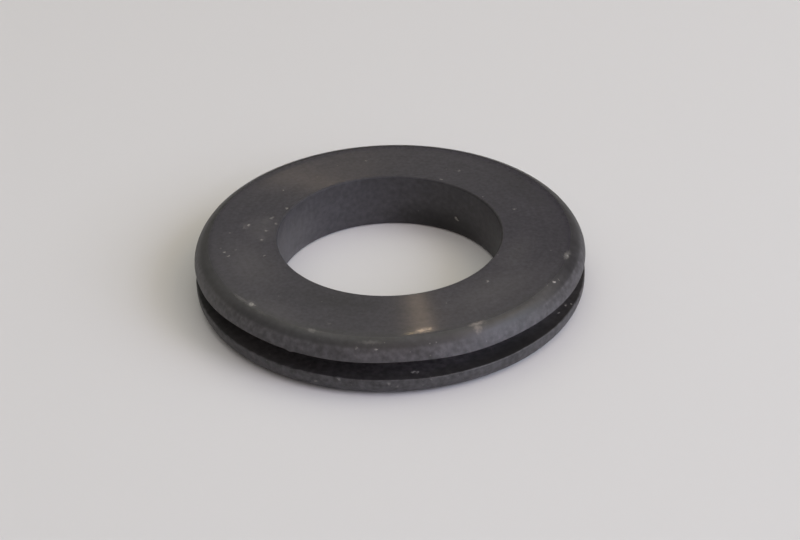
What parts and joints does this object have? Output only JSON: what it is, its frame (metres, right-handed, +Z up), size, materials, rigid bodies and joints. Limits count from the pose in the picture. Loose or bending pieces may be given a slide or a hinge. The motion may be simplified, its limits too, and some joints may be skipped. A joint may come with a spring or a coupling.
{
  "type": "rubber grommet",
  "caption": "Round black rubber panel grommet with a wide bore, a narrow panel groove and rounded flange edges.",
  "frame": {"origin": "centre of the underside, on the bore's axis", "axes": "+Z up along the bore's axis, from the lower flange to the upper flange; X and Y are free, because the ring is round"},
  "size_m": [0.0333, 0.0332, 0.005],
  "materials": {
    "moulded_rubber": "matte to satin, fine moulded grain"
  },
  "bodies": {
    "root": {"grommet": "moulded_rubber"}
  },
  "joints": []
}
